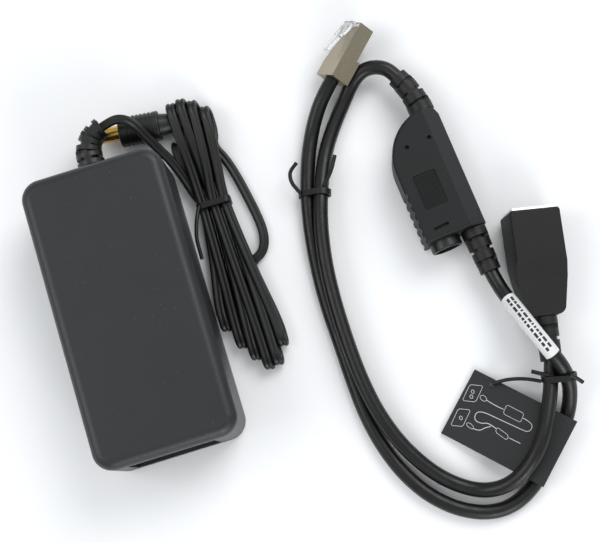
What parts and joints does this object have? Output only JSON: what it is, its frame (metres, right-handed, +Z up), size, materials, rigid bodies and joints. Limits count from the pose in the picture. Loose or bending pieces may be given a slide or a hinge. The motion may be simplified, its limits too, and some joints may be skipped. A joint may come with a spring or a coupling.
{
  "type": "poe injector",
  "caption": "Inline power injector for a network cable: mains brick with a tied barrel-plug cord, and a cable set with a moulded module, a shielded data plug and an inline data socket.",
  "frame": {"origin": "On the floor under the middle of the box around the brick and the injector module, cords and what is on them left out.", "axes": "+Z up, the brick stands at -X with its long side along Y and its mains inlet facing -Y; the injector lead lies at +X."},
  "size_m": [0.1786, 0.1871, 0.0335],
  "materials": {
    "brick_abs": "semi-gloss moulded ABS, faint leather grain",
    "inlet_nylon": "moulded nylon",
    "nickel_brass": "nickel plated brass",
    "copper": "bare copper",
    "board_fr4": "solder mask",
    "fuse_glass": "clear",
    "component_epoxy": "moulded",
    "component_black": "moulded epoxy",
    "ferrite": "sintered",
    "aluminium_can": "drawn can",
    "aluminium_sheet": "mill finish",
    "boot_pvc": "moulded soft PVC",
    "cord_pvc": "extruded PVC, satin",
    "tie_pvc": "satin",
    "gold_plate": "thin gold plate",
    "module_abs": "fine spark-eroded texture",
    "jack_nylon": "moulded nylon",
    "relief_pvc": "moulded soft PVC",
    "cable_pvc": "extruded PVC, satin",
    "clear_polycarbonate": "clear moulded",
    "nickel_plate": "nickel plated sheet",
    "wire_colours": "insulated wires",
    "socket_pvc": "moulded soft PVC",
    "label_vinyl": "coated",
    "tag_card": "printed, matt"
  },
  "bodies": {
    "power_brick": {"brick_top_case": "brick_abs", "brick_bottom_case": "brick_abs", "ac_inlet_body": "inlet_nylon", "inlet_blades": "nickel_brass", "inlet_leads": "copper", "brick_board": "board_fr4", "input_fuse": "fuse_glass", "x_capacitor": "component_epoxy", "bridge_rectifier": "component_black", "y_capacitor": "component_epoxy", "control_chips": "component_black", "line_filter_choke": "ferrite", "bulk_capacitor": "aluminium_can", "transformer_core": "ferrite", "transformer_winding": "copper", "primary_heatsink": "aluminium_sheet", "power_switch": "component_black", "output_heatsink": "aluminium_sheet", "output_capacitors": "aluminium_can", "brick_strain_relief": "boot_pvc", "dc_cord": "cord_pvc", "dc_cord_loose_turn": "cord_pvc", "dc_cord_hank": "cord_pvc", "hank_tie": "tie_pvc", "dc_plug_body": "boot_pvc", "dc_plug_barrel": "gold_plate", "dc_plug_insulator": "component_black"},
    "injector_lead": {"cable_label": "label_vinyl", "cable_tie_lower": "tie_pvc", "cable_tie_upper": "tie_pvc", "dc_jack_body": "jack_nylon", "dc_jack_pin": "nickel_brass", "hang_tag": "tag_card", "lower_strain_relief": "relief_pvc", "module_board": "board_fr4", "module_bottom_shell": "module_abs", "module_top_shell": "module_abs", "plug_cable": "cable_pvc", "plug_contacts": "gold_plate", "plug_shield": "nickel_plate", "plug_wires": "wire_colours", "pulse_transformer": "component_black", "rj45_plug_body": "clear_polycarbonate", "socket_cable": "cable_pvc", "socket_housing": "socket_pvc", "socket_insert": "jack_nylon", "socket_shield": "nickel_plate", "socket_strain_relief": "relief_pvc", "surge_protector": "component_black", "tag_string": "tie_pvc", "upper_strain_relief": "relief_pvc"},
    "latch": {"plug_latch": "clear_polycarbonate"},
    "jack_leaf": {"dc_jack_spring": "nickel_brass"},
    "socket_springs": {"socket_contacts": "gold_plate"}
  },
  "joints": [
    {"name": "lead_lift", "type": "slide", "parent": "power_brick", "child": "injector_lead", "axis": [0, 0, 1], "range_m": [0, 0.06]},
    {"name": "latch_press", "type": "hinge", "parent": "injector_lead", "child": "latch", "pos_m": [0.0527, 0.07931, 0.01013], "axis": [0.4127, -0.4185, 0.809], "range_deg": [0, 10], "stiffness_Nm_per_rad": 0.05},
    {"name": "jack_leaf_flex", "type": "hinge", "parent": "injector_lead", "child": "jack_leaf", "pos_m": [0.06004, 0.00018, 0.01115], "axis": [-0.9962, -0.0872, 0], "range_deg": [0, 4], "stiffness_Nm_per_rad": 0.02},
    {"name": "socket_spring_flex", "type": "hinge", "parent": "injector_lead", "child": "socket_springs", "pos_m": [0.09273, -0.00838, 0.01283], "axis": [-0.9727, 0.1715, 0.1564], "range_deg": [0, 12], "stiffness_Nm_per_rad": 0.03}
  ]
}
